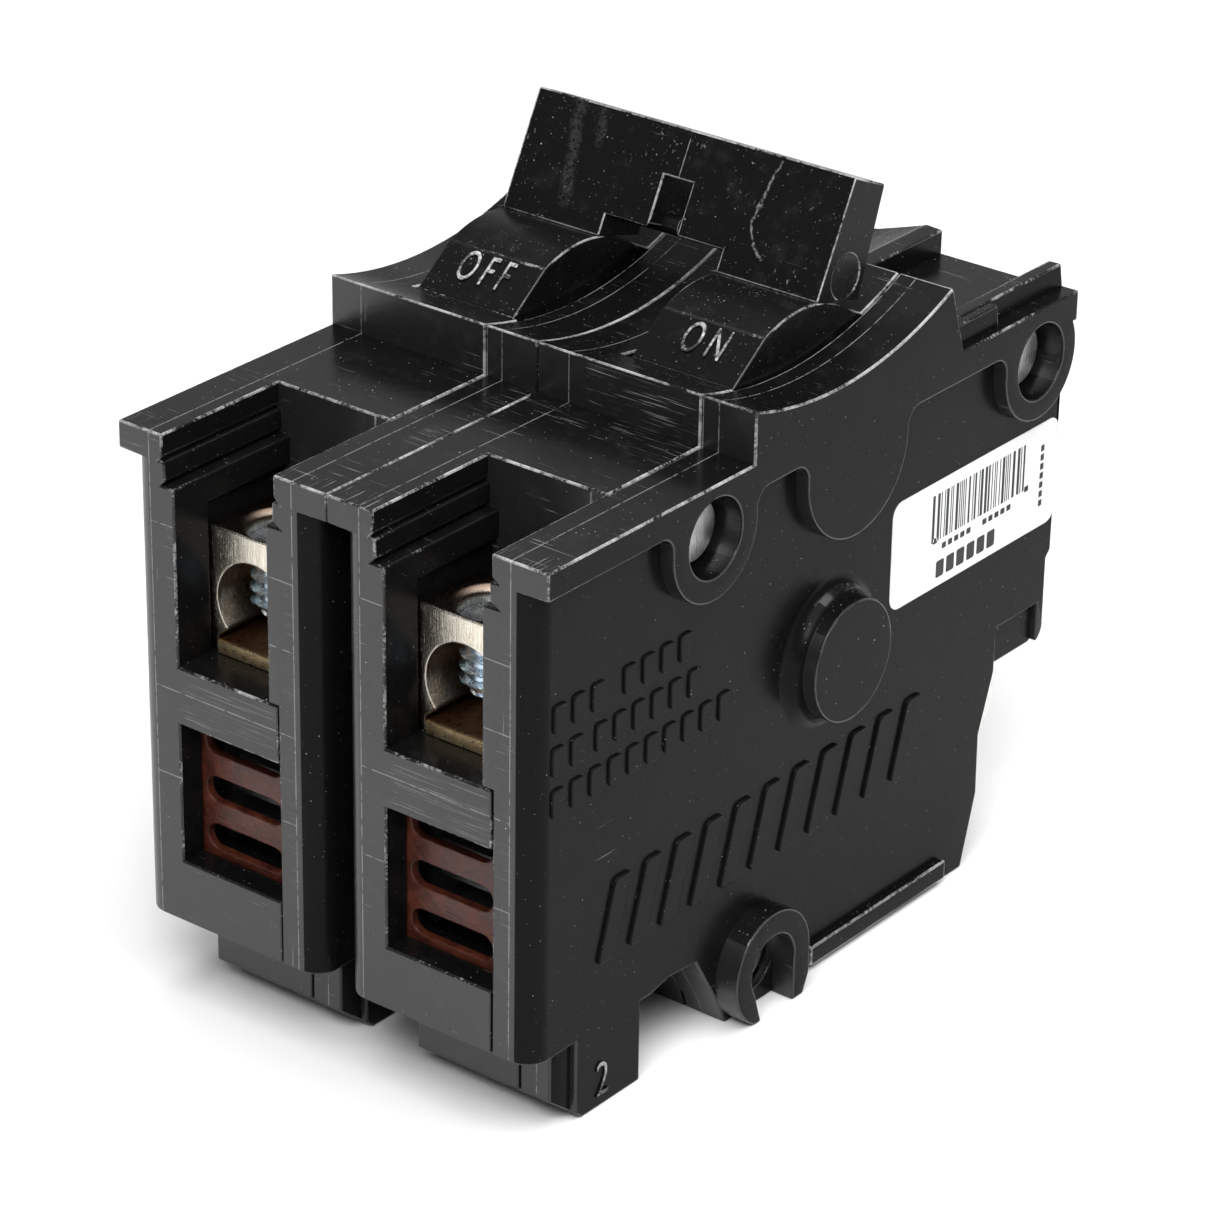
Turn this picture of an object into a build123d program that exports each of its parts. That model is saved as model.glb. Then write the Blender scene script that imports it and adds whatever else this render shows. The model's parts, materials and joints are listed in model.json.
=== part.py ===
from build123d import *
import math
import os

# Two-pole plug-in circuit breaker, built pole by pole.  Millimetres, +Z up.
# Working coordinates: x = 0..25.4 across one pole, y = 0 at the wire terminals
# and growing towards the line stabs, z = 0 at the flat top platform.
# place() moves a finished piece to the row frame, whose origin is the centre of
# the overall box on the resting plane.

# ---------------------------------------------------------------- driving sizes
POLE = 25.4                 # one-inch pole module
LENGTH = 82.5               # terminal face to rear face
REST_Z = -59.0              # resting plane below the platform
BUTTON_PROUD = 1.6          # locating button beyond the lip plane
MID_X = BUTTON_PROUD / 2    # centre of the overall box from the pole joint
PANEL_IN = 1.5              # side panels sit this far inside the lips
CORNER_R = 2.4              # vertical front corners of the panels
LIP = 2.8                   # depth of the top lip band
STEP_Y = 29.6               # step from the platform up to the saddle
SADDLE_C = (42.0, 45.9)     # saddle arc centre (y, z)
SADDLE_R = 42.6
SADDLE_END_Y = 60.4
DECK_Y = 62.75              # rear deck starts here
SPLIT_LO = 19.10            # base ends
SPLIT_HI = 19.25            # cover starts
WALL_LO = 3.8               # inner face of the base wall
WALL_HI = 21.2              # inner face of the cover wall
FACE_BOTTOM = -50.5         # lower edge of the terminal face

POCKET_X = (6.7, 18.0)      # wire pocket, lower part
POCKET_BACK = 16.0
SHELF_Z = (-29.3, -23.3)    # bar between wire pocket and vent
VENT_X = (6.7, 19.1)
VENT_Z = (-43.9, -29.3)

PIVOT = (45.0, -5.0)        # handle pivot (y, z)
BARREL_R = 13.5
BARREL_HALF = (7.05, 18.9)  # barrel ends from the pole joint
BARREL_CLEAR = 0.25
PADDLE_HALF = 18.9          # flush with the drums
TRUNNION_R = 2.4
TIE = (51.9, 9.6)           # tie pin axis (y, z)
TIE_R = (1.0, 2.15)         # tie pin shank and heads
TIE_HEAD = 3.0              # length of each head
RUNNING = 0.05              # radial clearance of running fits

LUG_X = (6.15, 17.25)
LUG_Y = (5.0, 13.6)
LUG_Z = (-23.25, -10.45)
WIRE_BORE_R = 4.4
WIRE_BORE_Z = -17.55
LUG_MID_X = 11.7
LUG_SCREW_R = 3.2
LUG_SCREW_Y = 9.3
LUG_MOUTH_R = 3.9           # countersink round the tapped hole
STRIP_T = 1.3               # load strip thickness
STRIP_Z = -23.2             # underside of the load strip
STRIP_X = (7.6, 15.8)

ARM_PIVOT = (47.0, -27.0)
ARM_X = (11.7, 13.7)
ARM_PIN_R = 1.5
CONTACT_Y = 29.0
CONTACT_Z = -36.0           # face between the two contact pads
CONTACT_R = 2.2
CONTACT_T = 1.2
CONTACT_GAP = 0.05

CRADLE_PIVOT = (64.0, -21.0)
CRADLE_X = (14.6, 15.8)
CRADLE_PIN_R = 1.3
ARMATURE_PIVOT = (29.0, -7.6)
ARMATURE_PIN_R = 0.8
TRIP_BAR = (20.4, -11.0)
TRIP_BAR_R = 1.6

RIVETS = [(24.0, -5.3), (76.4, -5.3), (33.6, -53.8)]
RIVET_R = 1.6
RIVET_HEAD_R = 3.0
RIVET_BORE_R = 3.9
HOOK_BORE_R = 3.35
BOSS_R = 6.3

POLES = {"left": -POLE, "right": 0.0}


# ---------------------------------------------------------------------- helpers
def block(x, y, z):
    """Axis-aligned block from three (low, high) pairs."""
    size = [b - a for a, b in (x, y, z)]
    mid = [(a + b) / 2 for a, b in (x, y, z)]
    return Pos(*mid) * Box(*size)


def side_slab(outline, x):
    """Prism of a closed (y, z) outline between two x values."""
    face = Plane.YZ.offset(x[0]) * make_face(Polyline(*outline, close=True))
    return extrude(face, amount=x[1] - x[0])


def front_slab(outline, y):
    """Prism of a closed (x, z) outline between two y values."""
    plane = Plane(origin=(0, y[1], 0), x_dir=(1, 0, 0), z_dir=(0, -1, 0))
    face = plane * make_face(Polyline(*outline, close=True))
    return extrude(face, amount=y[1] - y[0])


def plan_slab(outline, z):
    """Prism of a closed (x, y) outline between two z values."""
    face = Plane.XY.offset(z[0]) * make_face(Polyline(*outline, close=True))
    return extrude(face, amount=z[1] - z[0])


def rod_x(centre, r, x):
    y, z = centre
    base = Location((x[0], y, z), (0, 90, 0))
    return base * Cylinder(r, x[1] - x[0], align=(Align.CENTER, Align.CENTER, Align.MIN))


def rod_y(centre, r, y):
    x, z = centre
    base = Location((x, y[0], z), (-90, 0, 0))
    return base * Cylinder(r, y[1] - y[0], align=(Align.CENTER, Align.CENTER, Align.MIN))


def rod_z(centre, r, z):
    x, y = centre
    base = Location((x, y, z[0]))
    return base * Cylinder(r, z[1] - z[0], align=(Align.CENTER, Align.CENTER, Align.MIN))


def saddle_z(y):
    return SADDLE_C[1] - math.sqrt(SADDLE_R ** 2 - (y - SADDLE_C[0]) ** 2)


def arc_points(centre, r, a0, a1, n):
    """Points on an arc, angles in degrees from +y towards +z."""
    angles = [math.radians(a0 + (a1 - a0) * i / n) for i in range(n + 1)]
    return [(centre[0] + r * math.cos(a), centre[1] + r * math.sin(a)) for a in angles]


def curved_slab(edges, x):
    """Prism of an outline given as joined edges in (y, z)."""
    face = Plane.YZ.offset(x[0]) * make_face(edges)
    return extrude(face, amount=x[1] - x[0])


# ------------------------------------------------------------- moulded pole case
def body_prism():
    """Side-panel outline: platform, step, saddle, overhanging rear, feet."""
    start = (STEP_Y, saddle_z(STEP_Y))
    mid = (SADDLE_C[0], saddle_z(SADDLE_C[0]))
    end = (SADDLE_END_Y, saddle_z(SADDLE_END_Y))
    saddle = ThreePointArc(start, mid, end)
    heel = (81.8, -35.9)
    tuck = (80.2, -38.1)
    knee = ThreePointArc(heel, (81.45, -37.35), tuck)
    rear = Polyline(end, (DECK_Y, 0.15), (DECK_Y, -1), (LENGTH, -1), (LENGTH, -28.2),
                    (81.8, -28.9), heel)
    under = Polyline(tuck, (73.4, -38.1), (71.1, -44.7), (71.2, -51.3), (69.0, REST_Z),
                     (66.4, REST_Z), (65.2, -58.3), (38.5, -58.3), (38.0, REST_Z),
                     (29.4, REST_Z), (28.6, -57.0), (24.5, -50.2), (20.5, -49.9),
                     (17.6, FACE_BOTTOM), (0, FACE_BOTTOM), (0, 0), (STEP_Y, 0), start)
    prism = curved_slab(saddle + rear + knee + under, (PANEL_IN, POLE - PANEL_IN))
    corners = [e for e in prism.edges().filter_by(Axis.Z) if e.center().Y < 0.01]
    return fillet(corners, CORNER_R)


def lip_band(x):
    """Flush band along the top of one side, with rivet bosses and centre lobe."""
    saddle = ThreePointArc((STEP_Y, saddle_z(STEP_Y)), (SADDLE_C[0], saddle_z(SADDLE_C[0])),
                           (SADDLE_END_Y, saddle_z(SADDLE_END_Y)))
    rear = Polyline((SADDLE_END_Y, saddle_z(SADDLE_END_Y)), (DECK_Y, 0.15),
                    (LENGTH, 0.35), (LENGTH, -LIP), (0, -LIP), (0, 0), (STEP_Y, 0),
                    (STEP_Y, saddle_z(STEP_Y)))
    band = make_face(saddle + rear)
    for y, z in RIVETS[:2]:
        band += Pos(y, z) * Circle(BOSS_R if y < 50 else LENGTH - y)
    band += Pos(46.0, -5.0) * Circle(8.0)
    band -= Pos(STEP_Y / 2, 5) * Rectangle(STEP_Y, 10)
    band -= Pos(DECK_Y + 15, 0.35 + 5) * Rectangle(30, 10)
    band -= Pos(LENGTH + 5, -5) * Rectangle(10, 40)
    inner = [v for v in band.vertices() if abs(v.Y + LIP) < 0.01 and 1 < v.X < LENGTH - 1]
    band = fillet(inner, 1.8)
    return extrude(Plane.YZ.offset(x[0]) * band, amount=x[1] - x[0])


def deck_rails():
    """Saw-tooth rails on the rear deck, one on the base and one on the cover."""
    y_all = (DECK_Y - 0.6, LENGTH)
    left = [(0, -LIP), (0, 0.4), (1.5, 0.7), (6.6, 2.35), (7.2, 2.6), (9.1, 2.5), (9.1, 0.0),
            (19.1, 0.0), (19.1, -LIP)]
    right = [(19.1, -LIP), (19.1, 0.2), (21.8, 2.55), (23.2, 2.6), (23.5, 0.35),
             (POLE, 0.35), (POLE, -LIP)]
    front_rail = [(21.0, -1), (21.8, 2.45), (24.2, 2.4), (24.4, 0.3), (24.4, -1)]
    rails = front_slab(left, y_all) + front_slab(right, y_all)
    return rails + front_slab(front_rail, (DECK_Y - 0.6, 70.0))


def front_foot():
    outline = [(6.9, 4.1), (22.7, 4.1), (23.2, 5.3), (23.2, 6.5), (23.9, 6.5), (23.9, 16.1), (6.9, 16.1)]
    foot = plan_slab(outline, (REST_Z, FACE_BOTTOM + 1))
    bevel = side_slab([(3.5, -56.3), (4.1, -56.3), (7.5, REST_Z), (7.5, -60), (3.5, -60)], (6, 24.5))
    return foot - bevel


def hook_boss(face_x):
    """C-shaped rivet boss that stands proud of the panel, open at the bottom."""
    y, z = RIVETS[2]
    ring = rod_x((y, z), 5.9, (WALL_HI, face_x))
    arm = side_slab([(27.8, -54.2), (29.4, -49.6), (y, z), (y + 5.9, z), (39.5, -57.0),
                     (38.6, REST_Z), (32.0, REST_Z)], (WALL_HI, face_x))
    below = block((WALL_HI - 1, face_x + 1), (y - 8, y + 8), (REST_Z - 5, REST_Z))
    mouth = side_slab([(y - 3.4, z), (y + 3.3, z), (y + 3.3, REST_Z - 1), (y - 1.4, REST_Z - 1)],
                      (face_x - 2.6, face_x + 1))
    return ring + arm - mouth - below


def locating_button():
    """Round flared button on the cover that enters the neighbouring pole."""
    y, z = (44.1, -24.9)
    end_x = POLE + BUTTON_PROUD
    root_x = POLE - PANEL_IN
    profile = Polyline((0, root_x - 0.5), (8.2, root_x - 0.5), (8.2, root_x)) \
        + ThreePointArc((8.2, root_x), (6.75, root_x + 0.5), (6.2, root_x + 1.9)) \
        + Polyline((6.2, root_x + 1.9), (6.2, end_x), (0, end_x), (0, root_x - 0.5))
    face = make_face(Plane.XZ * profile)
    solid = revolve(face, Axis.Z)
    return Location((0, y, z), (0, 90, 0)) * solid


def heel_recess():
    """Shallow step in the cover side of the rear overhang."""
    outline = [(73.3, -39.0), (73.3, -33.6), (80.7, -33.6), (80.7, -39.0)]
    return side_slab(outline, (POLE - PANEL_IN - 0.7, POLE))


def cavity():
    """Mechanism room, arc room and the strip channel between them."""
    room = side_slab([(17.4, -2.7), (29.0, -2.7), (31.8, 1.2), (58.2, 3.0), (60.5, -3.4),
                      (79.0, -3.4), (79.0, -35.0), (72.6, -35.0), (68.0, -45.0), (68.0, -51.0),
                      (26.0, -51.0), (22.0, -46.8), (6.2, -46.8), (6.2, -27.2), (17.4, -27.2)],
                     (WALL_LO, WALL_HI))
    return room


def wire_pocket():
    left = [(POCKET_X[0], SHELF_Z[1]), (POCKET_X[0], -5.2), (5.2, -5.15), (5.7, -4.6), (5.6, -2.75),
            (5.0, -2.7), (5.4, -2.2), (5.4, 1)]
    right = [(19.0, 1), (19.0, -2.2), (19.6, -2.7), (18.8, -2.75), (18.8, -4.6), (19.6, -5.15),
             (POCKET_X[1], -5.2), (POCKET_X[1], SHELF_Z[1])]
    room = front_slab(left + right, (-1, POCKET_BACK))
    strip_slot = block((STRIP_X[0] - 0.1, STRIP_X[1] + 0.1), (POCKET_BACK - 1, 18),
                       (STRIP_Z - 0.1, STRIP_Z + STRIP_T + 0.1))
    lug_seat = block((LUG_X[0] - 0.2, SPLIT_LO + 0.1), (4.7, POCKET_BACK), (SHELF_Z[1], -8.0))
    return room + strip_slot + lug_seat


def vent_opening():
    window = block(VENT_X, (-1, 8), VENT_Z)
    plate_slot = block((5.3, 20.0), (3.0, 4.2), (-45.2, -28.6))
    return window + plate_slot


def stab_slot():
    """Where the line strip leaves the rear wall towards the stab jaws."""
    return block((14.5, 21.2), (66, 73), (-45.0, -42.9))


def rivet_bores():
    bores = Part()
    for i, (y, z) in enumerate(RIVETS):
        bores += rod_x((y, z), RIVET_R + RUNNING, (-1, POLE + 4))
        bores += rod_x((y, z), RIVET_BORE_R if i < 2 else HOOK_BORE_R, (22.0, POLE + 4))
        bores += rod_x((y, z), RIVET_BORE_R if i < 2 else HOOK_BORE_R, (-1, 3.4))
    return bores


def rivet_sleeves():
    """Tubes round the two upper rivets where they cross the mechanism room."""
    sleeves = Part()
    for y, z in RIVETS[:2]:
        sleeves += rod_x((y, z), 2.9, (WALL_LO - 0.5, WALL_HI + 0.5))
    return sleeves


def bearing_bosses():
    """Inner bosses that carry the handle, the arm pin, cradle and armature."""
    bosses = rod_x(PIVOT, 4.0, (WALL_LO - 0.5, 6.1))
    bosses += rod_x(PIVOT, 4.0, (SPLIT_HI, WALL_HI + 0.5))
    bosses += rod_x(ARM_PIVOT, 3.2, (SPLIT_HI, WALL_HI + 0.5))
    bosses += rod_x(CRADLE_PIVOT, 3.0, (SPLIT_HI, WALL_HI + 0.5))
    bosses += rod_x(CRADLE_PIVOT, 3.0, (WALL_LO - 0.5, 14.3))
    bosses += block((WALL_LO - 0.5, 8.0), (22.9, 24.1), (-18.5, -13.0))
    return bosses


def bearing_bores(side):
    bores = rod_x(PIVOT, TRUNNION_R + RUNNING, (4.4, WALL_HI - 0.2))
    bores += rod_x(ARM_PIVOT, ARM_PIN_R, (16.0, WALL_HI + 1.2))
    bores += rod_x(CRADLE_PIVOT, CRADLE_PIN_R, (WALL_LO, WALL_HI))
    bores += rod_x(ARMATURE_PIVOT, ARMATURE_PIN_R, (WALL_LO - 1, WALL_HI + 1))
    bar_x = (WALL_LO - 0.8, POLE + 1) if side == "left" else (-1, WALL_HI + 0.8)
    return bores + rod_x(TRIP_BAR, TRIP_BAR_R + RUNNING, bar_x)


def barrel_slot():
    disc = rod_x(PIVOT, BARREL_R + BARREL_CLEAR, (6.2, SPLIT_LO))
    return disc & block((6, 20), (20, 70), (-25, 30))


def pole_solid():
    solid = body_prism()
    solid += lip_band((0, PANEL_IN + 0.1))
    solid += lip_band((POLE - PANEL_IN - 0.1, POLE))
    solid += block((PANEL_IN, POLE - PANEL_IN), (0, CORNER_R), (-LIP, 0))
    solid += deck_rails()
    solid += front_foot()
    solid += hook_boss(POLE + 1.0)
    solid += locating_button()
    solid += block((POLE - PANEL_IN - 0.2, POLE - 0.7), (42.2, 65.0), (-58.3, -56.2))
    return solid - heel_recess()


def pole_case(side):
    """Base and cover of one pole, split at the moulding joint."""
    solid = pole_solid()
    solid -= cavity()
    solid += rivet_sleeves()
    solid += bearing_bosses()
    solid -= wire_pocket()
    solid -= vent_opening()
    solid -= stab_slot()
    solid -= barrel_slot()
    solid -= bearing_bores(side)
    solid -= rivet_bores()
    solid -= rod_x((44.1, -24.9), 6.7, (-1, 2.0))
    base = solid & block((-5, SPLIT_LO), (-5, 90), (-70, 30))
    cover = solid & block((SPLIT_HI, 35), (-5, 90), (-70, 30))
    base -= block((POCKET_X[1] - 0.6, 20), (-1, POCKET_BACK + 0.1), (SHELF_Z[1], 1))
    cover += solid & block((POCKET_X[1] - 0.5, 20), (-1, POCKET_BACK), (SHELF_Z[1] + 0.1, 1))
    return base, cover


# ------------------------------------------------------------------ terminal lug
def lug_body():
    body = block(LUG_X, LUG_Y, LUG_Z)
    body = fillet(body.edges().filter_by(Axis.Y), 0.6)
    body -= rod_y((LUG_MID_X, WIRE_BORE_Z), WIRE_BORE_R, (0, 20))
    low, high = STRIP_X[0] - 0.3, STRIP_X[1] + 0.3
    slot = [(low, STRIP_Z - 0.05), (low, -21.7), (low + 1.3, -20.6), (high - 1.3, -20.6), (high, -21.7),
            (high, STRIP_Z - 0.05)]
    body -= front_slab(slot, (0, 20))
    body -= rod_z((LUG_MID_X, LUG_SCREW_Y), LUG_SCREW_R + RUNNING, (-15, 0))
    mouth = Cone(LUG_SCREW_R, LUG_MOUTH_R, 0.7, align=(Align.CENTER, Align.CENTER, Align.MAX))
    body -= Location((LUG_MID_X, LUG_SCREW_Y, LUG_Z[1])) * mouth
    return body


def lug_screw():
    screw = rod_z((LUG_MID_X, LUG_SCREW_Y), LUG_SCREW_R, (-18.6, -12.0))
    tip = Location((LUG_MID_X, LUG_SCREW_Y, -19.4)) * Cone(2.3, LUG_SCREW_R, 0.8,
                                                          align=(Align.CENTER, Align.CENTER, Align.MIN))
    slot = block((LUG_MID_X - 4, LUG_MID_X + 4), (LUG_SCREW_Y - 0.5, LUG_SCREW_Y + 0.5), (-13.4, -11))
    return screw + tip - slot


def load_strip():
    """Flat copper strip from under the wire to the bimetal."""
    return block(STRIP_X, (4.6, 26.0), (STRIP_Z, STRIP_Z + STRIP_T))


# ------------------------------------------------------------------ trip elements
def bimetal():
    z0 = STRIP_Z + STRIP_T
    strip = block((10.0, 15.0), (25.0, 25.8), (z0, -10.6))
    toe = block((10.0, 15.0), (25.0, 26.0), (z0, z0 + 0.8))
    tab = block((14.8, 18.4), (25.0, 25.8), (-12.6, -10.6))
    return strip + toe + tab


def magnet_yoke():
    back = block((8.0, 16.9), (22.9, 24.1), (-18.5, -13.0))
    legs = block((8.0, 9.3), (24.0, 26.8), (-18.5, -13.0))
    legs += block((15.6, 16.9), (24.0, 26.8), (-18.5, -13.0))
    return back + legs


def armature():
    plate = block((8.4, 16.4), (28.4, 29.4), (-24.9, -7.0))
    knuckle = rod_x(ARMATURE_PIVOT, 1.4, (8.4, 16.4))
    ledge = block((13.8, 16.4), (28.4, 30.25), (-24.9, -23.9))
    window = block((13.8, 16.5), (27, 30), (-22.6, -19.0))
    return plate + knuckle + ledge - window - rod_x(ARMATURE_PIVOT, ARMATURE_PIN_R + RUNNING, (5, 20))


def armature_pin():
    return rod_x(ARMATURE_PIVOT, ARMATURE_PIN_R, (WALL_LO - 1, WALL_HI + 1))


def trip_bar():
    """Common bar through both poles, with one lever per pole."""
    y, z = TRIP_BAR
    reach = POLE - WALL_LO + 0.2
    bar = rod_x(TRIP_BAR, TRIP_BAR_R, (-reach, reach))
    for shift in POLES.values():
        hub = rod_x(TRIP_BAR, 2.3, (shift + 9.6, shift + 15.6))
        outline = [(y - 1.5, z), (y + 0.6, z + 1.6), (24.5, -9.4), (26.9, -8.6), (26.9, -9.6), (y, z - 1.2)]
        lever = side_slab(outline, (shift + 9.6, shift + 13.2))
        bar += hub + lever
    return bar


def cradle():
    y, z = CRADLE_PIVOT
    plate = side_slab([(29.95, -23.2), (29.95, -20.9), (34.0, -19.6), (y - 1, z + 2.6), (y + 2.8, z + 1.6),
                       (y + 2.8, z - 2.0), (y - 2, z - 3.0), (50.0, -22.9), (36.0, -22.9)], CRADLE_X)
    plate += rod_x(CRADLE_PIVOT, 2.9, CRADLE_X)
    post = rod_x((57.0, -22.0), 0.9, (8.6, CRADLE_X[0] + 0.2))
    return plate + post - rod_x(CRADLE_PIVOT, CRADLE_PIN_R + RUNNING, (0, 30))


def cradle_pin():
    return rod_x(CRADLE_PIVOT, CRADLE_PIN_R, (WALL_LO, WALL_HI))


# ----------------------------------------------------------------- contact system
def moving_arm():
    y, z = ARM_PIVOT
    top = CONTACT_Z + CONTACT_GAP / 2 + CONTACT_T
    blade = side_slab([(CONTACT_Y - 2.6, top), (CONTACT_Y + 2.6, top), (38.0, -31.6), (y, z - 2.8),
                       (y + 2.6, z - 1.2), (y + 2.4, z + 1.8), (y, z + 2.6), (38.5, -28.4),
                       (CONTACT_Y, top + 2.6), (CONTACT_Y - 2.6, top + 2.2)], ARM_X)
    shoe = block((10.2, 14.3), (CONTACT_Y - 2.6, CONTACT_Y + 2.6), (top, top + 1.0))
    post = rod_x((38.0, -30.0), 0.9, (8.6, ARM_X[0] + 0.2))
    return blade + shoe + post - rod_x(ARM_PIVOT, ARM_PIN_R + RUNNING, (0, 30))


def moving_contact():
    z = CONTACT_Z + CONTACT_GAP / 2
    return rod_z((12.7, CONTACT_Y), CONTACT_R, (z, z + CONTACT_T))


def fixed_contact():
    z = CONTACT_Z - CONTACT_GAP / 2
    return rod_z((12.7, CONTACT_Y), CONTACT_R, (z - CONTACT_T, z))


def arm_pin():
    return rod_x(ARM_PIVOT, ARM_PIN_R, (11.0, WALL_HI + 1.2))


def line_strip():
    """Formed copper strip from the fixed contact to the rear wall."""
    seat = CONTACT_Z - CONTACT_GAP / 2 - CONTACT_T
    pad = block((9.2, 16.2), (26.4, 32.4), (seat - 1.6, seat))
    drop = block((9.2, 16.2), (30.8, 32.4), (-44.8, seat))
    run = block((9.2, 16.2), (30.8, 66.5), (-44.8, -43.2))
    cross = block((9.2, 21.0), (60.5, 66.5), (-44.8, -43.2))
    tail = block((15.0, 21.0), (66.0, 74.6), (-44.8, -43.2))
    return pad + drop + run + cross + tail


def line_stab():
    """Two plated jaws under the rear overhang that grip the bus stab."""
    outline = [(75.5, -38.3), (77.5, -38.3), (77.8, -44.7), (75.8, -47.4), (72.4, -48.6), (71.5, -46.9),
               (71.3, -45.2)]
    jaws = side_slab(outline, (19.9, 20.9)) + side_slab(outline, (15.1, 16.1))
    web = block((16.0, 20.0), (76.3, 77.5), (-43.1, -38.6))
    jaws -= block((14, 22), (66, 74.7), (-44.85, -43.15))
    return jaws + web


def spring_path(p0, p1, r, wire, turns):
    """Closely wound tension spring between two (x, y, z) points."""
    axis = Vector(*p1) - Vector(*p0)
    plane = Plane(origin=p0, z_dir=axis)
    pitch = axis.length / turns
    helix = Helix(pitch=pitch, height=axis.length, radius=r)
    start = helix @ 0
    section = Plane(origin=start, z_dir=helix % 0) * Circle(wire)
    coil = sweep(section, path=helix)
    return plane.location * coil


def toggle_spring():
    return spring_path((9.4, 39.3, -29.4), (9.4, 55.8, -22.5), 1.2, 0.3, 14)


def braid():
    """Flexible copper braid from the bimetal tab to the moving arm."""
    route = [(17.6, 26.6, -11.6), (18.1, 27.7, -14.2), (18.2, 28.0, -24.8), (18.0, 36.0, -28.6),
             (17.0, 41.0, -29.6), (14.3, 43.0, -29.4)]
    line = FilletPolyline(*route, radius=0.9)
    section = Plane(origin=line @ 0, z_dir=line % 0) * Circle(0.7)
    return sweep(section, path=line)


# ---------------------------------------------------------------------- arc parts
def splitter_plates():
    """Five notched steel plates in the arc room."""
    plates = Part()
    for i in range(5):
        z = -43.6 + 3.0 * i
        plate = plan_slab([(5.4, 9.4), (19.8, 9.4), (19.8, 24.0), (14.2, 24.0), (12.6, 15.0),
                           (11.0, 24.0), (5.4, 24.0)], (z, z + 0.8))
        plates += plate
    return plates


def chute_sides():
    sides = Part()
    for x in ((4.1, 5.3), (19.9, 21.0)):
        side = side_slab([(8.6, -45.6), (25.0, -45.6), (25.0, -28.6), (8.6, -28.6)], x)
        sides += side
    return sides


def vent_plate():
    """Vulcanised-fibre plate with rounded horizontal slots."""
    plate = block((5.5, 19.8), (3.1, 4.1), (-45.0, -28.8))
    for z in (-31.8, -36.9, -42.0):
        slot = block((8.4, 15.4), (2, 5), (z - 1.3, z + 1.3))
        slot += rod_y((8.4, z), 1.3, (2, 5)) + rod_y((15.4, z), 1.3, (2, 5))
        plate -= slot
    return plate


# -------------------------------------------------------------------------- handle
def handle_barrel(x):
    """Sector drum of one pole with the flat lettering facet cut on its front."""
    front, back = 142.0, -14.0
    tail = arc_points(PIVOT, BARREL_R, front, back, 2)
    drum_face = Line(PIVOT, tail[0]) + ThreePointArc(*tail) + Line(tail[2], PIVOT)
    drum = curved_slab(drum_face, x)
    drum += rod_x(PIVOT, 5.2, x)
    a = (39.5, 7.33)
    b = (34.9, 3.95)
    out = [a, b, (b[0] - 4, b[1] + 3), (a[0] - 4, a[1] + 6)]
    return drum - side_slab(out, (x[0] - 1, x[1] + 1))


def handle_paddle():
    """Leaning paddle across both poles, stepped up over the pole joint."""
    face_low, face_top = (47.5, 8.3), (53.1, 19.15)
    back_low, back_top = (54.0, 6.4), (57.75, 17.1)
    full = side_slab([face_low, face_top, back_top, back_low], (-PADDLE_HALF, PADDLE_HALF))
    lift = [(46, 4), (46, 8), (48.8, 10.5), (55.6, 7.6), (55, 3)]
    full -= side_slab(lift, (-BARREL_HALF[0], BARREL_HALF[0]))
    full -= side_slab([(46, 5), (48.5, 15.9), (58, 11.9), (56, 3)], (-1.9, 1.6))
    return full


def handle():
    body = handle_paddle()
    for sign in (-1, 1):
        x = sorted((sign * BARREL_HALF[0], sign * BARREL_HALF[1]))
        body += handle_barrel(x)
    for shift in POLES.values():
        body += rod_x(PIVOT, TRUNNION_R, (shift + 4.6, shift + WALL_HI - 0.4))
    body -= rod_x(TIE, TIE_R[0] + RUNNING, (-PADDLE_HALF - 1, PADDLE_HALF + 1))
    for sign in (-1, 1):
        inner = PADDLE_HALF - 0.1 - TIE_HEAD
        ends = sorted((sign * (inner - 0.1), sign * (PADDLE_HALF + 1)))
        body -= rod_x(TIE, TIE_R[1] + RUNNING, ends)
    return body


def tie_pin():
    """Pin along the paddle that ties the two handles together."""
    end = PADDLE_HALF - 0.1
    pin = rod_x(TIE, TIE_R[0], (-end, end))
    pin += rod_x(TIE, TIE_R[1], (-end, TIE_HEAD - end))
    return pin + rod_x(TIE, TIE_R[1], (end - TIE_HEAD, end))


# ------------------------------------------------------------------ shared pieces
def case_rivets():
    rivets = []
    for y, z in RIVETS:
        shank = rod_x((y, z), RIVET_R, (-POLE + 2.6, POLE - 2.6))
        heads = rod_x((y, z), RIVET_HEAD_R, (-POLE + 2.5, -POLE + 3.4))
        heads += rod_x((y, z), RIVET_HEAD_R, (22.0, POLE - 2.5))
        rivets.append(shank + heads)
    return Compound(children=rivets)


def side_label():
    x = POLE - PANEL_IN
    face = Pos(68.3, -19.0) * RectangleRounded(28.4, 11.4, 1.5)
    return extrude(Plane.YZ.offset(x) * face, amount=0.08)


# ---------------------------------------------------------------------- assembly
def place(shape):
    return Pos(-MID_X, -LENGTH / 2, -REST_Z) * shape


def write(name, shape):
    export_step(place(shape), os.path.join("parts", name + ".step"))


PER_POLE = {
    "lug_body": lug_body, "lug_screw": lug_screw, "load_strip": load_strip, "bimetal": bimetal,
    "magnet_yoke": magnet_yoke, "armature": armature, "armature_pin": armature_pin, "cradle": cradle,
    "cradle_pin": cradle_pin, "contact_arm": moving_arm, "moving_contact": moving_contact,
    "fixed_contact": fixed_contact, "arm_pin": arm_pin, "line_strip": line_strip, "line_stab": line_stab,
    "toggle_spring": toggle_spring, "braid": braid, "arc_splitters": splitter_plates,
    "arc_chute_sides": chute_sides, "vent_plate": vent_plate,
}


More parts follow.
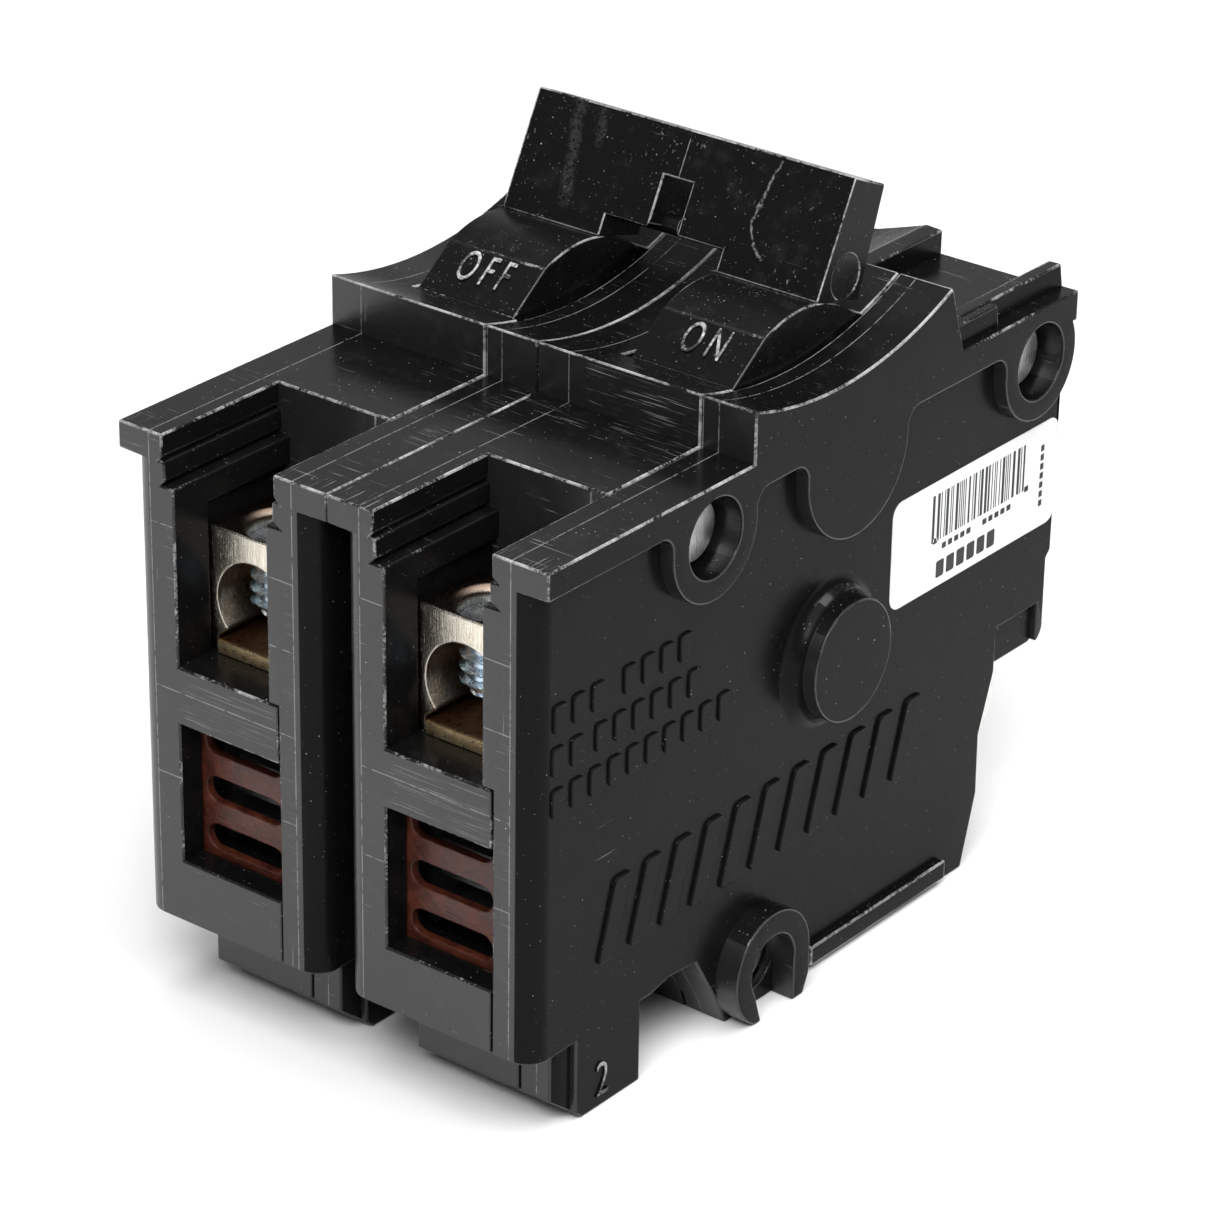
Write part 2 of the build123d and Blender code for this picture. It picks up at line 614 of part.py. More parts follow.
def main():
    os.makedirs("parts", exist_ok=True)
    for side, shift in POLES.items():
        base, cover = pole_case(side)
        write(side + "_case_base", Pos(shift, 0, 0) * base)
        write(side + "_case_cover", Pos(shift, 0, 0) * cover)
        for name, make in PER_POLE.items():
            write(side + "_" + name, Pos(shift, 0, 0) * make())
    write("handle", handle())
    write("handle_tie_pin", tie_pin())
    write("trip_bar", trip_bar())
    write("case_rivets", case_rivets())
    write("side_label", side_label())


main()
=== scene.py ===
import functools
import json
import math
import random

import bmesh
import bpy
from mathutils import Matrix, Vector
from mathutils.geometry import delaunay_2d_cdt

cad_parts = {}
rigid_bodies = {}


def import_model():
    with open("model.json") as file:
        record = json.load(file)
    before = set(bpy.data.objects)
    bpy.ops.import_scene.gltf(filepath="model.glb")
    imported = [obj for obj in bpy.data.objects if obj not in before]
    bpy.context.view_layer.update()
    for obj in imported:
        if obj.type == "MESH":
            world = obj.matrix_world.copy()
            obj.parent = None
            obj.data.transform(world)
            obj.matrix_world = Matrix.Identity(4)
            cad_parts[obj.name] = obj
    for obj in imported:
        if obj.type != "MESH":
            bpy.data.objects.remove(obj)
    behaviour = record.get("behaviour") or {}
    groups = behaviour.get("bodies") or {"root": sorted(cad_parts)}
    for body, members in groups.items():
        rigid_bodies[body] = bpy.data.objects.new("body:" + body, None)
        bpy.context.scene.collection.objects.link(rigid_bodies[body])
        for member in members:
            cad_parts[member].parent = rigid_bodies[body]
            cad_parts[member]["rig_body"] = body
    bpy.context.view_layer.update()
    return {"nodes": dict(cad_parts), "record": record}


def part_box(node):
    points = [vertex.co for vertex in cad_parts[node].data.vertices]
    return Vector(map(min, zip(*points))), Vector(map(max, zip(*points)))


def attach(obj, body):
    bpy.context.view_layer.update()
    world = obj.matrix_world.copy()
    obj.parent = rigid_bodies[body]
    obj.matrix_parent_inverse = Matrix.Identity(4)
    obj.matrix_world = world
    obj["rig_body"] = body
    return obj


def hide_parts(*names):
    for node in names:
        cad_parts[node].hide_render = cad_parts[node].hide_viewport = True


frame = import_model()
MM = 0.001                                      # metres in a millimetre
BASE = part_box("right_case_base")[0]             # pole joint, terminal face, resting plane
REST_Z = 59.0                                   # mm from the resting plane up to the platform
POLE = 25.4                                     # mm, width of one pole
PANEL_X = 23.9                                  # mm, outer face of the right side panel
POLES = {"left": -POLE, "right": 0.0}           # mm, where each pole starts across
CAMERA_PLACE = (0.25617, -0.32957, 0.23785)     # metres
CAMERA_ANGLES = (37.99, 26.19, 0.863)           # degrees: azimuth, elevation, roll
CAMERA_LENS = 142.06                            # mm, on a 36 mm sensor
rng = random.Random(11)


def at(x, y, z):
    """Row-frame point in metres from pole coordinates in mm.

    Pole coordinates run across from the pole joint, back from the terminal face and up from the platform.
    """
    return BASE + Vector((x, y, z + REST_Z)) * MM


def pole_coords(p):
    """The reverse of at()."""
    q = (p - BASE) / MM
    return q.x, q.y, q.z - REST_Z


def row_x(x):
    return at(x, 0, 0).x / MM


def row_y(y):
    return at(0, y, 0).y / MM


def row_z(z):
    return REST_Z + z


def row_box(**limits):
    """Limits in pole coordinates by axis letter, turned into row-frame mm."""
    to_row = {"x": row_x, "y": row_y, "z": row_z}
    return {axis: tuple(to_row[axis](value) for value in pair) for axis, pair in limits.items()}


# ------------------------------------------------------------------ camera
def make_camera():
    """The main view, from the front right and above."""
    azimuth, elevation, roll = (math.radians(v) for v in CAMERA_ANGLES)
    back = Vector((math.sin(azimuth) * math.cos(elevation), -math.cos(azimuth) * math.cos(elevation),
                   math.sin(elevation)))
    right = Vector((math.cos(azimuth), math.sin(azimuth), 0))
    up = back.cross(right)
    x_axis = math.cos(roll) * right + math.sin(roll) * up
    y_axis = -math.sin(roll) * right + math.cos(roll) * up
    data = bpy.data.cameras.new("camera")
    data.sensor_width = 36.0
    data.lens = CAMERA_LENS
    data.clip_start = 0.01
    data.clip_end = 10.0
    camera = bpy.data.objects.new("camera", data)
    bpy.context.scene.collection.objects.link(camera)
    turn = Matrix((x_axis, y_axis, back)).transposed().to_4x4()
    camera.matrix_world = Matrix.Translation(CAMERA_PLACE) @ turn
    bpy.context.scene.camera = camera


make_camera()


# ------------------------------------------------------------------ shader helper
class Shader:
    """A small builder for node materials whose coordinates are millimetres in the row frame."""

    def __init__(self, name):
        self.material = bpy.data.materials.new(name)
        self.material.use_nodes = True
        self.tree = self.material.node_tree
        self.tree.nodes.clear()
        output = self.tree.nodes.new("ShaderNodeOutputMaterial")
        self.principled = self.tree.nodes.new("ShaderNodeBsdfPrincipled")
        self.link(self.principled.outputs[0], output.inputs[0])
        coordinates = self.tree.nodes.new("ShaderNodeTexCoord").outputs["Object"]
        self.mm = self.scaled(coordinates, (1000, 1000, 1000))

    def link(self, a, b):
        self.tree.links.new(a, b)

    def put(self, socket, value):
        if isinstance(value, bpy.types.NodeSocket):
            self.link(value, socket)
        else:
            socket.default_value = value

    def scaled(self, vector, scale, rotation=(0, 0, 0), offset=(0, 0, 0)):
        node = self.tree.nodes.new("ShaderNodeMapping")
        self.link(vector, node.inputs["Vector"])
        node.inputs["Scale"].default_value = scale
        node.inputs["Rotation"].default_value = [math.radians(v) for v in rotation]
        node.inputs["Location"].default_value = offset
        return node.outputs[0]

    def noise(self, scale, detail=2.0, rough=0.5, vector=None):
        node = self.tree.nodes.new("ShaderNodeTexNoise")
        self.link(vector or self.mm, node.inputs["Vector"])
        node.inputs["Scale"].default_value = scale
        node.inputs["Detail"].default_value = detail
        node.inputs["Roughness"].default_value = rough
        return node.outputs["Fac"]

    def cells(self, scale, vector=None):
        node = self.tree.nodes.new("ShaderNodeTexVoronoi")
        self.link(vector or self.mm, node.inputs["Vector"])
        node.inputs["Scale"].default_value = scale
        return node.outputs["Distance"], node.outputs["Color"]

    def ramp(self, value, low, high, to_low=0.0, to_high=1.0):
        node = self.tree.nodes.new("ShaderNodeMapRange")
        node.clamp = True
        self.put(node.inputs["Value"], value)
        node.inputs["From Min"].default_value = low
        node.inputs["From Max"].default_value = high
        node.inputs["To Min"].default_value = to_low
        node.inputs["To Max"].default_value = to_high
        return node.outputs[0]

    def math(self, operation, a, b=0.0):
        node = self.tree.nodes.new("ShaderNodeMath")
        node.operation = operation
        self.put(node.inputs[0], a)
        self.put(node.inputs[1], b)
        return node.outputs[0]

    def plus(self, a, b):
        return self.math("ADD", a, b)

    def minus(self, a, b):
        return self.math("SUBTRACT", a, b)

    def times(self, a, b):
        return self.math("MULTIPLY", a, b)

    def away(self, a, b):
        """Distance between two values."""
        return self.math("ABSOLUTE", self.minus(a, b))

    def all_of(self, masks):
        return functools.reduce(self.times, masks)

    def any_of(self, masks):
        return functools.reduce(lambda a, b: self.math("MAXIMUM", a, b), masks)

    def split(self, vector):
        node = self.tree.nodes.new("ShaderNodeSeparateXYZ")
        self.link(vector, node.inputs[0])
        return node.outputs

    def mix(self, factor, a, b):
        node = self.tree.nodes.new("ShaderNodeMix")
        node.data_type = "RGBA"
        self.put(node.inputs["Factor"], factor)
        self.put(node.inputs["A"], a)
        self.put(node.inputs["B"], b)
        return node.outputs["Result"]

    def attribute(self, name):
        node = self.tree.nodes.new("ShaderNodeAttribute")
        node.attribute_name = name
        return node.outputs["Fac"]

    def bump(self, height, strength, distance):
        node = self.tree.nodes.new("ShaderNodeBump")
        node.inputs["Strength"].default_value = strength
        node.inputs["Distance"].default_value = distance
        self.link(height, node.inputs["Height"])
        self.link(node.outputs[0], self.principled.inputs["Normal"])

    def set(self, **values):
        for name, value in values.items():
            self.put(self.principled.inputs[name.replace("_", " ")], value)


def grey(value):
    return (value, value, value, 1.0)


# ------------------------------------------------------------------ materials
def streaks(s, along, fine, threshold, turn=(0, 0, 0), shift=(0, 0, 0), width=0.05):
    """Thin broken scratches: noise drawn out along one direction and cut at a threshold."""
    stretch = [fine, fine, fine]
    stretch["xyz".index(along)] = 0.12
    lines = s.noise(1.0, 3.0, 0.6, s.scaled(s.mm, stretch, turn, shift))
    return s.ramp(lines, threshold, threshold + width)


def soft_box(s, limits, soft=0.4):
    """One inside a box of axis letter to (low, high) in row-frame mm, fading out over the soft width."""
    parts = s.split(s.mm)
    masks = []
    for axis, (low, high) in limits.items():
        off = s.away(parts["xyz".index(axis)], (low + high) / 2)
        half = (high - low) / 2
        masks.append(s.ramp(off, half + soft, half - soft))
    return s.all_of(masks)


def drawn_line(s, points, width):
    """One on a broken line through (x, z) points in row-frame mm, fading out over its width."""
    x, _, z = s.split(s.mm)
    x = s.plus(x, s.ramp(s.noise(1.1, 2.0), 0.2, 0.8, -0.35, 0.35))
    stretches = []
    for (x0, z0), (x1, z1) in zip(points, points[1:]):
        dx, dz = x1 - x0, z1 - z0
        reach = dx * dx + dz * dz
        px, pz = s.minus(x, x0), s.minus(z, z0)
        along = s.ramp(s.plus(s.times(px, dx / reach), s.times(pz, dz / reach)), 0.0, 1.0)
        away_x = s.minus(px, s.times(along, dx))
        away_z = s.minus(pz, s.times(along, dz))
        away = s.math("SQRT", s.plus(s.times(away_x, away_x), s.times(away_z, away_z)))
        stretches.append(s.ramp(away, width, width * 0.2))
    return s.times(s.any_of(stretches), s.ramp(s.noise(2.4, 4.0, 0.75), 0.40, 0.62))


def scratch_marks(s, scratches):
    """Scratch sets of (axis, fineness, threshold, turn, mask scale, mask cut), each in its own patches."""
    marks = []
    for i, (axis, fine, cut, turn, mask_scale, mask_cut) in enumerate(scratches):
        lines = streaks(s, axis, fine, cut, turn, (3.1 * i, 7.7 * i, 1.3))
        patches = s.noise(mask_scale, 2.0, 0.5, s.scaled(s.mm, (1, 1, 1), (0, 0, 0), (9 * i, 4, 2)))
        marks.append(s.times(lines, s.ramp(patches, mask_cut, mask_cut + 0.08)))
    return s.any_of(marks)


def dust_specks(s, dust):
    """Dots of three sizes, from sets of (cell scale, dot radius, share of cells, colour channel)."""
    sets = []
    for scale, radius, share, channel in ((0.8, 0.075, 0.30, 0), (1.9, 0.11, 0.40, 1), (3.6, 0.13, 0.30, 2)):
        distance, colour = s.cells(scale, s.scaled(s.mm, (1, 1, 1), (0, 0, 0), (5 * channel, 3, 8)))
        chosen = s.ramp(s.split(colour)[channel], 1 - share * dust, 1.01 - share * dust)
        size = s.ramp(s.noise(1.3, 1.0), 0.3, 0.7, 0.4 * radius, radius)
        sets.append(s.times(s.math("LESS_THAN", distance, size), chosen))
    return s.any_of(sets)


def seam_lines(s, seams):
    """Hairline joints of the moulding, broken up by noise.

    A seam is (axis, place) in row-frame mm, or (axis, place, low x, high x) where it is short.
    """
    parts = s.split(s.mm)
    lines = []
    for axis, place, *span in seams:
        line = s.ramp(s.away(parts["XYZ".index(axis)], place), 0.075, 0.03)
        if span:
            middle, half = (span[0] + span[1]) / 2, (span[1] - span[0]) / 2
            line = s.times(line, s.ramp(s.away(parts[0], middle), half + 0.05, half - 0.05))
        lines.append(line)
    broken = s.ramp(s.noise(0.9, 3.0, 0.7), 0.36, 0.50)
    return s.times(s.any_of(lines), s.times(broken, 0.55))


def plastic(name, base, rough, level, scratches=(), dust=0.5, haze=0.25, seams=(), scuffs=(), drawn=()):
    """Black moulded thermoset: soft waviness, dust, scratch sets, seams, scuffed boxes and drawn lines."""
    s = Shader(name)
    broad = s.noise(0.07, 3.0, 0.55)
    cloudy = s.noise(0.45, 4.0, 0.6, s.scaled(s.mm, (1, 1, 1), (20, 35, 10)))
    smear = s.times(s.ramp(cloudy, 0.55, 0.85), haze)
    specks = dust_specks(s, dust)
    colour = s.mix(s.times(smear, 0.1), grey(base), grey(0.30))
    colour = s.mix(s.times(specks, 0.6), colour, grey(0.55))
    roughness = s.plus(s.ramp(broad, 0.3, 0.7, rough - 0.04, rough + 0.05), s.times(smear, 0.12))
    roughness = s.plus(roughness, s.times(specks, 0.3))
    height = s.plus(s.times(s.noise(5.0, 2.0, 0.5), 0.25), s.times(broad, 2.5))
    height = s.plus(height, s.times(specks, 0.8))
    if scratches:
        marks = scratch_marks(s, scratches)
        colour = s.mix(s.times(marks, 0.4), colour, grey(0.5))
        roughness = s.plus(roughness, s.times(marks, 0.25))
        height = s.minus(height, s.times(marks, 0.5))
    if seams:
        colour = s.mix(seam_lines(s, seams), colour, grey(0.33))
    for limits, axis, fine, cut, turn, strength in scuffs:
        lines = s.times(streaks(s, axis, fine, cut, turn, (2, 6, 4), 0.08), soft_box(s, limits))
        colour = s.mix(s.times(lines, strength), colour, grey(0.5))
    for points, width, strength in drawn:
        line = s.times(drawn_line(s, points, width), soft_box(s, row_box(y=PADDLE_Y), 0.2))
        colour = s.mix(s.times(line, strength), colour, grey(0.5))
    s.set(Base_Color=colour, Roughness=roughness, Specular_IOR_Level=level)
    s.bump(height, 0.35, 0.00008)
    return s.material


def worn_edge(name, base, rough, level, pale=0.46):
    """Rounded edges rubbed to a dull pale grey in broken stretches; the wear_and_highlight attribute says how
    much, and in places it raises the pale grey as a painted highlight.
    """
    s = Shader(name)
    wear_and_highlight = s.attribute("wear_and_highlight")
    stretch = s.noise(0.22, 3.0, 0.6)
    fine = s.noise(2.6, 3.0, 0.7)
    amount = s.plus(s.times(stretch, 0.9), s.times(fine, 0.7))
    amount = s.plus(amount, wear_and_highlight)
    mask = s.ramp(amount, 1.12, 1.38)
    colour = s.mix(s.times(mask, 0.85), grey(base), grey(pale))
    s.set(Base_Color=colour, Roughness=s.ramp(mask, 0, 1, rough, 0.5), Specular_IOR_Level=level)
    s.bump(s.plus(fine, s.noise(9.0, 1.0)), 0.5, 0.00006)
    return s.material


def metal(name, colour, rough, brushed="y", contrast=0.25, stain=(0.3, 0.2, 0.12, 1), stained=0.15):
    """Plated or bare metal with a brushed grain along one axis and light stains."""
    s = Shader(name)
    stretch = [9.0, 9.0, 9.0]
    stretch["xyz".index(brushed)] = 0.35
    grain = s.noise(1.0, 4.0, 0.65, s.scaled(s.mm, stretch))
    spots = s.ramp(s.noise(0.6, 4.0, 0.65), 0.5, 0.78)
    dark = tuple(c * (1 - contrast) for c in colour) + (1,)
    shade = s.mix(s.ramp(grain, 0.3, 0.7), dark, tuple(colour) + (1,))
    shade = s.mix(s.times(spots, stained), shade, stain)
    roughness = s.plus(s.ramp(grain, 0.25, 0.75, rough - 0.07, rough + 0.1), s.times(spots, 0.15))
    s.set(Base_Color=shade, Roughness=roughness, Metallic=1.0)
    s.bump(grain, 0.4, 0.00005)
    return s.material


def shaded(s, before, factor, colour):
    """Lays a tint over a base colour where the factor is high."""
    return s.mix(factor, before, colour + (1,))


def lug_metal():
    """Plated lug: pale brushed front with painted shade in brown: dark on the top face, darker towards the
    left edge and towards the bottom.
    """
    s = Shader("plated_lug")
    grain = s.noise(1.0, 5.0, 0.75, s.scaled(s.mm, (9.0, 9.0, 0.5)))
    spots = s.noise(0.5, 4.0, 0.7)
    x, y, z = s.split(s.mm)
    across = s.math("MODULO", s.minus(x, row_x(-POLE)), POLE)
    shade = s.mix(s.ramp(grain, 0.36, 0.62), (0.58, 0.50, 0.39, 1), (0.98, 0.93, 0.82, 1))
    # painted shade: darker brown towards the left edge of each lug
    left = s.ramp(s.plus(across, s.times(grain, 2.4)), 9.0, 7.4)
    shade = shaded(s, shade, s.times(left, 0.68), (0.16, 0.10, 0.06))
    # painted shade: darker brown towards the bottom of the lug
    low = s.ramp(s.plus(z, s.times(spots, 5.0)), row_z(-16.5), row_z(-19.5))
    shade = shaded(s, shade, s.times(low, 0.5), (0.28, 0.18, 0.10))
    # painted shade: dark brown over the lug's top face
    top = s.ramp(z, row_z(-11.3), row_z(-10.5), 0.75, 1.0)
    top = s.times(top, s.ramp(z, row_z(-11.4), row_z(-11.3)))
    top = s.times(top, s.ramp(y, row_y(5.1), row_y(5.4)))
    shade = shaded(s, shade, s.times(top, 0.93), (0.10, 0.06, 0.04))
    s.set(Base_Color=shade, Roughness=s.ramp(grain, 0.3, 0.7, 0.14, 0.30), Metallic=1.0)
    s.bump(grain, 0.4, 0.00005)
    return s.material


def copper_metal():
    """Copper strip: rough golden cut end, painted shade darkening it in the terminal pocket, plain inside."""
    s = Shader("copper")
    grain = s.noise(1.4, 5.0, 0.75)
    rough_spots = s.noise(4.5, 3.0, 0.7)
    y = s.split(s.mm)[1]
    front = s.ramp(y, row_y(5.1), row_y(4.75))
    pocket = s.ramp(y, row_y(17.0), row_y(16.0))
    shade = s.mix(s.ramp(grain, 0.35, 0.65), (0.60, 0.36, 0.20, 1), (0.86, 0.55, 0.33, 1))
    # painted shade: the strip is darker where it lies in the terminal pocket
    shade = shaded(s, shade, s.times(pocket, 0.8), (0.30, 0.15, 0.075))
    gold = s.mix(s.ramp(rough_spots, 0.42, 0.62), (0.92, 0.60, 0.28, 1), (1.0, 0.88, 0.56, 1))
    shade = s.mix(front, shade, gold)
    s.set(Base_Color=shade, Roughness=s.ramp(grain, 0.3, 0.7, 0.22, 0.40), Metallic=1.0)
    s.bump(s.plus(grain, s.times(front, rough_spots)), 0.7, 0.00010)
    return s.material


def fibre(name, colour, dark, rough):
    """Vulcanised fibre sheet: mottled, faintly fibrous, slightly glossy."""
    s = Shader(name)
    mottled = s.noise(0.8, 5.0, 0.65)
    threads = s.noise(1.0, 3.0, 0.6, s.scaled(s.mm, (0.7, 5, 5), (0, 0, 8)))
    shade = s.mix(s.ramp(mottled, 0.35, 0.7), dark + (1,), colour + (1,))
    distance, _ = s.cells(1.4)
    shade = s.mix(s.times(s.ramp(distance, 0.09, 0.03), 0.5), shade, (0.4, 0.3, 0.26, 1))
    s.set(Base_Color=shade, Roughness=s.ramp(mottled, 0.3, 0.7, rough - 0.08, rough + 0.12))
    s.bump(s.plus(threads, mottled), 0.6, 0.00014)
    return s.material


def film(name, colour):
    """Printed label stock with faint smudges."""
    s = Shader(name)
    smudge = s.noise(0.25, 4.0, 0.6)
    shade = s.mix(s.ramp(smudge, 0.4, 0.75, 0.0, 0.35), grey(colour), grey(colour * 0.86))
    s.set(Base_Color=shade, Roughness=s.ramp(smudge, 0.3, 0.7, 0.37, 0.52))
    s.bump(s.noise(6.0, 2.0), 0.12, 0.00004)
    return s.material


def woven(name, colour):
    """Stranded copper braid: two crossing wave sets."""
    s = Shader(name)
    waves = []
    for turn in (35, -35):
        node = s.tree.nodes.new("ShaderNodeTexWave")
        s.link(s.scaled(s.mm, (1, 1, 1), (turn, 0, 0)), node.inputs["Vector"])
        node.inputs["Scale"].default_value = 1.6
        node.inputs["Distortion"].default_value = 0.6
        waves.append(node.outputs["Fac"])
    height = s.math("MAXIMUM", waves[0], waves[1])
    shade = s.mix(height, tuple(c * 0.35 for c in colour) + (1,), tuple(colour) + (1,))
    s.set(Base_Color=shade, Roughness=s.ramp(s.noise(1.2), 0.3, 0.7, 0.3, 0.5), Metallic=1.0)
    s.bump(height, 0.8, 0.0002)
    return s.material


# Where seams and marks lie, in pole coordinates in mm
WALL_SEAMS = (3.8, 21.2)
SHORT_SEAMS = ((-35.0, 19.2, 21.2), (-35.0, 3.8, 6.7), (-25.9, 3.8, 21.2), (-10.3, 18.0, 21.2),
               (-17.2, 18.0, 21.2), (-9.0, 3.8, 6.7))
PADDLE_Y = (40, 54)         # front to back of the paddle
ON_TOP = (-1, 0.5)          # heights just round the platform

SEAM_X = [("X", row_x(shift + x)) for shift in POLES.values() for x in WALL_SEAMS]
FRONT_SEAMS = SEAM_X + [("Z", row_z(z), row_x(shift + a), row_x(shift + b)) for shift in POLES.values()
                        for z, a, b in SHORT_SEAMS]

# Scuffs are (box, axis, fineness, threshold, turn, strength)
BAR_SCUFFS = [(row_box(x=(shift + 7.5, shift + 18.6), z=(-28.9, -23.6)), "x", 7.0, 0.56, (0, -20, 0), 0.15)
              for shift in POLES.values()]
STRIP_SCUFFS = [(row_box(x=(shift + 20.2, shift + 21.4), z=(-45.0, -6.0)), "x", 7.0, 0.60, (0, -25, 0), 0.10)
                for shift in POLES.values()]
STEP_SCUFFS = [(row_box(x=(6.0, 19.0), y=(29.0, 30.5), z=(0.2, 4.6)), "x", 6.0, 0.60, (0, 0, 0), 0.45)]
TOP_SCUFFS = [(row_box(x=(-2.4, -0.3), y=(13.0, 29.0), z=ON_TOP), "x", 9.0, 0.58, (0, 0, 8), 0.36),
              (row_box(x=(10.0, 19.5), y=(24.0, 29.6), z=ON_TOP), "x", 6.0, 0.60, (0, 0, 5), 0.42),
              (row_box(x=(-25.0, 25.0), y=(0.0, 2.6), z=ON_TOP), "y", 5.0, 0.60, (0, 0, 10), 0.35)]


def paddle_line(points, width, strength):
    """A scratch or smear on the paddle through (x, z) points."""
    return [(row_x(x), row_z(z)) for x, z in points], width, strength


HANDLE_LINES = [paddle_line(((10.4, 18.6), (9.8, 15.6), (9.2, 13.0), (10.2, 11.4), (11.5, 10.4)), 0.20, 0.5),
                paddle_line(((-13.7, 18.9), (-13.0, 15.5), (-12.2, 10.5)), 0.95, 0.07),
                paddle_line(((-10.6, 18.5), (-10.2, 16.0)), 0.7, 0.06)]

# The case plastic comes as three copies by facing, side, front and top, whose base colour and reflection are
# set apart as painted light and shade: the front base colour is raised as a painted reflection of the bright
# floor, and the side reflects less as painted shade; their dust, haze and scratches are real.
SIDE = plastic("mould_side", 0.005, 0.25, 0.065, dust=0.30, haze=0.10,
               scratches=[("y", 5.0, 0.72, (0, 0, 0), 0.07, 0.60), ("z", 4.0, 0.74, (38, 0, 0), 0.06, 0.62)])
FRONT = plastic("mould_front", 0.012, 0.30, 0.62, dust=0.30, haze=0.5, seams=FRONT_SEAMS,
                scratches=[("x", 6.0, 0.68, (0, 0, 0), 0.12, 0.56), ("z", 5.0, 0.69, (0, 12, 0), 0.10, 0.58),
                           ("x", 5.0, 0.62, (0, -22, 0), 0.16, 0.62)],
                scuffs=BAR_SCUFFS + STRIP_SCUFFS + STEP_SCUFFS)
TOP = plastic("mould_top", 0.004, 0.22, 0.42, dust=0.8, haze=0.3, seams=SEAM_X,
              scratches=[("x", 6.0, 0.66, (0, 0, 0), 0.16, 0.52), ("x", 7.0, 0.67, (0, 0, 14), 0.2, 0.57),
                         ("y", 5.0, 0.70, (0, 0, 5), 0.10, 0.60)],
              scuffs=TOP_SCUFFS[:1] + STEP_SCUFFS + TOP_SCUFFS[1:])
EDGE = worn_edge("mould_edge", 0.006, 0.22, 0.5)
# Pale tops for the raised handle letters: partly rubbed bare, partly a painted highlight along the strokes.
RUBBED_AND_HIGHLIT = worn_edge("rubbed_and_highlit_mark", 0.02, 0.25, 0.5, 0.72)
HANDLE = plastic("handle_face", 0.005, 0.25, 0.24, dust=0.9, haze=0.4,
                 scratches=[("z", 3.5, 0.66, (0, 0, 0), 0.15, 0.58), ("x", 5.0, 0.70, (0, 0, 0), 0.12, 0.60)],
                 seams=[("X", row_x(-0.15))], drawn=HANDLE_LINES)
# Copy of the handle plastic for the handle's side faces, reflecting less as painted shade on those faces,
# with less dust and no scratches.
HANDLE_END = plastic("handle_end", 0.005, 0.25, 0.10, dust=0.6, haze=0.3)
PRINT = plastic("label_ink", 0.02, 0.5, 0.3, dust=0.0, haze=0.2)

SLOT_MATERIALS = {
    "moulded_black": TOP,
    "handle_black": HANDLE,
    "trip_plastic": fibre("trip_plastic", (0.70, 0.66, 0.55), (0.62, 0.58, 0.47), 0.5),
    "plated_lug": lug_metal(),
    "zinc_screw": metal("zinc_screw", (0.62, 0.74, 0.86), 0.22, "x", 0.3, (0.25, 0.3, 0.4, 1), 0.3),
    "copper": copper_metal(),
    "braid_copper": woven("braid_copper", (0.80, 0.45, 0.27)),
    "bimetal_steel": metal("bimetal_steel", (0.60, 0.57, 0.53), 0.35, "z"),
    "magnet_steel": metal("magnet_steel", (0.55, 0.55, 0.56), 0.38, "y"),
    "pin_steel": metal("pin_steel", (0.62, 0.62, 0.63), 0.25, "x"),
    "rivet_steel": metal("rivet_steel", (0.66, 0.66, 0.67), 0.28, "z", 0.35, (0.2, 0.2, 0.2, 1), 0.4),
    "spring_wire": metal("spring_wire", (0.45, 0.45, 0.47), 0.3, "y"),
    "contact_silver": metal("contact_silver", (0.86, 0.85, 0.82), 0.22, "x"),
    "plated_stab": metal("plated_stab", (0.84, 0.83, 0.80), 0.24, "z", 0.3, (0.4, 0.38, 0.34, 1), 0.3),
    # painted shade: the fibre sheet, grey in itself, is coloured near black for the shade inside the case
    "fibre_sheet": fibre("fibre_sheet", (0.050, 0.048, 0.045), (0.030, 0.029, 0.028), 0.6),
    "fibre_red": fibre("fibre_red", (0.100, 0.022, 0.010), (0.030, 0.007, 0.004), 0.36),
    "label_white": film("label_white", 0.86),
}


def paint_cad_nodes():
    """Every CAD node that stays in view takes the procedural material of its record slot."""
    for part in frame["record"]["subparts"]:
        mesh = frame["nodes"][part["node"]].data
        mesh.materials.clear()
        mesh.materials.append(SLOT_MATERIALS[part["material_slot"]])


paint_cad_nodes()


# ------------------------------------------------------------------ refined copies of CAD parts
WELD = 3e-6                 # metres within which points are one
FLAT_ANGLE = 0.4            # degrees within which faces are one


def case_wear_and_highlight(x, y, z):
    """How worn an edge of the case is, by place in pole coordinates, with a painted highlight on the top edge
    of the long lower ledge.
    """
    if z > 0.3 and 29 < y < 62:
        return 0.50
    if z > -0.5:
        return 0.44 if y < 33 else 0.30
    if y < 0.6:
        return 0.32 if z > -30 else 0.20
    if y < 4.5 and z > -46:
        return -0.1
    # painted highlight: the top edge of the long lower ledge is made paler along its middle
    if x > 23 and z < -55:
        return 0.48 if 42 < y < 66 else 0.10
    if x > 23:
        return -0.04
    return -0.05


def wear_handle(x, y, z):
    """How worn an edge of the handle is."""
    if z > 14:
        return 0.46
    if z > 7.6:
        return 0.44
    return 0.22


def unworn(x, y, z):
    return 0.0


def side_of(normal):
    """Which copy of the material a face takes by its facing: 0 top, 1 front, 2 side and rounded right front
    corners; the copies are toned apart as painted light and shade.
    """
    if abs(normal.x) > 0.8 or (normal.x > 0.12 and normal.y < -0.3):
        return 2
    if normal.y < -0.7:
        return 1
    return 0


